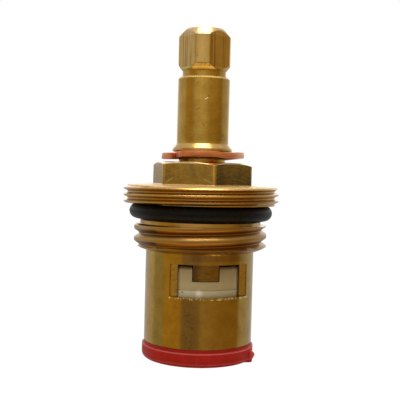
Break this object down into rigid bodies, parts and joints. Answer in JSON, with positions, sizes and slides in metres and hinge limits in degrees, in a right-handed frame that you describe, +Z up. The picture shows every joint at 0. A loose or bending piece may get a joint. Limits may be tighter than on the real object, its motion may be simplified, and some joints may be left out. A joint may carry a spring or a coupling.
{
  "type": "tap cartridge",
  "caption": "Quarter-turn ceramic disc tap cartridge: brass body with hexagon, threaded flange and windowed tube, square-headed spindle, copper clip, rubber ring and red base seal.",
  "frame": {"origin": "on the spindle's axis, at the face of the base seal that the cartridge stands on", "axes": "+Z up the spindle towards its head; the outlet windows face -Y and +Y; +X is the outward normal of one hexagon flat"},
  "size_m": [0.024, 0.024, 0.0513],
  "materials": {
    "brass": "turned, dull with age",
    "copper": "bent copper strip, satin",
    "black_rubber": "moulded, semi-matte",
    "red_rubber": "moulded silicone rubber, satin",
    "ceramic": "fired alumina, glossy",
    "washer_plastic": "satin"
  },
  "bodies": {
    "cartridge": {"valve_body": "brass", "flange_o_ring": "black_rubber", "thrust_washer": "washer_plastic", "lower_disc": "ceramic", "base_seal": "red_rubber"},
    "stem": {"spindle": "brass", "retaining_clip": "copper", "spindle_o_ring_upper": "black_rubber", "spindle_o_ring_lower": "black_rubber", "upper_disc": "ceramic"}
  },
  "joints": [
    {"name": "spindle_turn", "type": "hinge", "parent": "cartridge", "child": "stem", "pos_m": [0, 0, 0], "axis": [0, 0, 1], "range_deg": [0, 90]}
  ]
}
